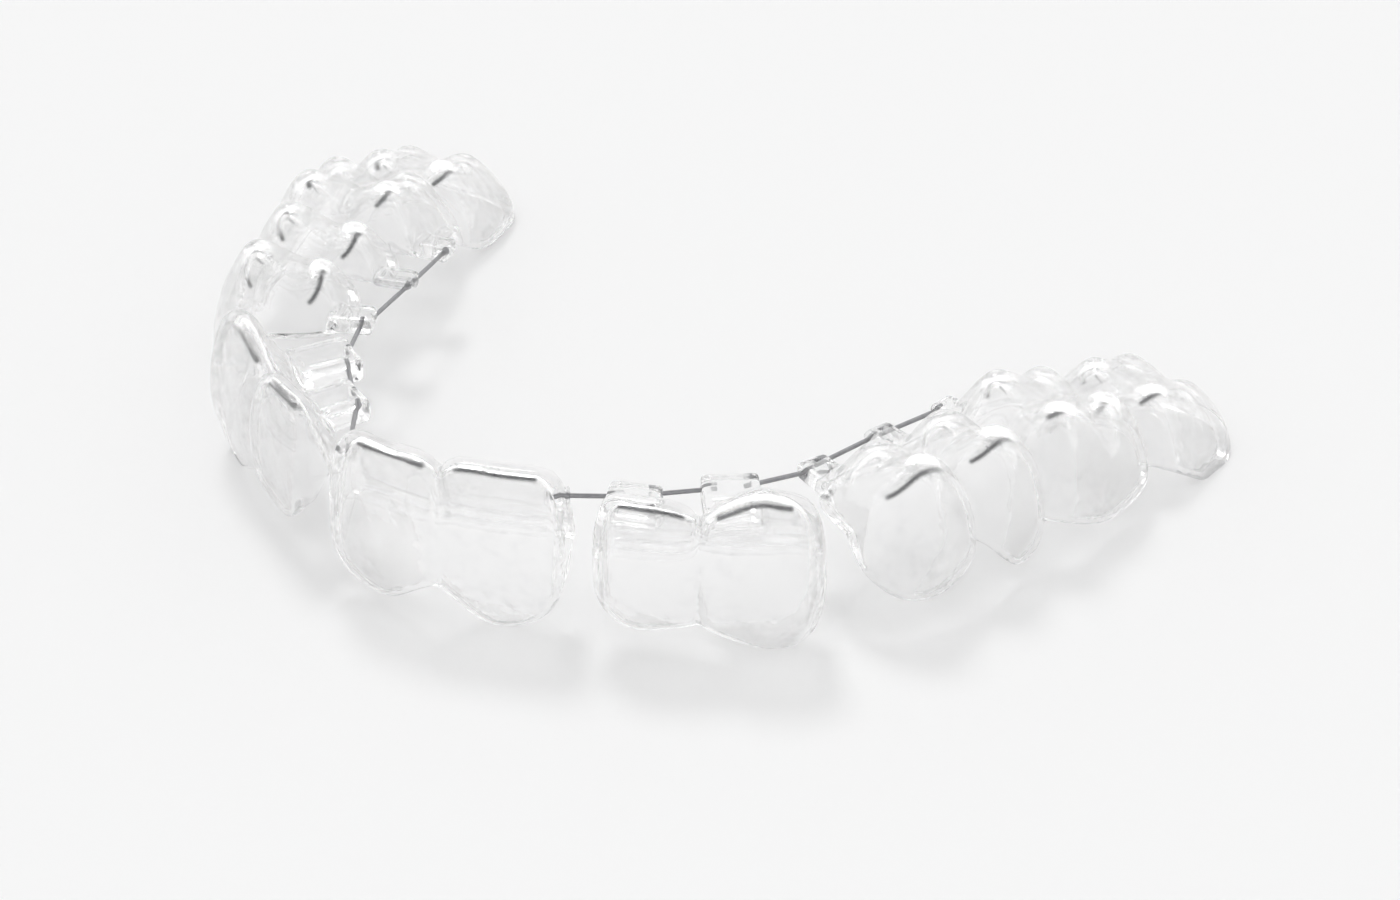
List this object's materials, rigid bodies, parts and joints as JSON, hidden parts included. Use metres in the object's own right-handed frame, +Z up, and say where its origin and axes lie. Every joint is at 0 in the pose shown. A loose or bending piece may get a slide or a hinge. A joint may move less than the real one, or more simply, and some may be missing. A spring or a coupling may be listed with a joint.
{
  "type": "clear aligner",
  "caption": "Clear thermoformed dental aligner for an upper arch, cut into segments that a thin metal wire on the palate side links into one horseshoe.",
  "frame": {"origin": "middle of the bounding box's underside, on the surface the aligner stands on", "axes": "+X to the wearer's left along the arch's width, -Y towards the front teeth, +Z up from the gum edge towards the biting edges"},
  "size_m": [0.0679, 0.0455, 0.0109],
  "materials": {
    "clear_plastic": "clear, glossy",
    "wire_metal": "satin"
  },
  "bodies": {
    "root": {"shell_front": "clear_plastic", "shell_canine_r": "clear_plastic", "shell_canine_l": "clear_plastic", "shell_molar_r": "clear_plastic", "shell_molar_l": "clear_plastic", "wire_r1": "wire_metal", "wire_r2": "wire_metal", "wire_r3": "wire_metal", "wire_r4": "wire_metal", "wire_r5": "wire_metal", "wire_l1": "wire_metal", "wire_l2": "wire_metal", "wire_l3": "wire_metal", "wire_l4": "wire_metal", "wire_l5": "wire_metal"}
  },
  "joints": []
}
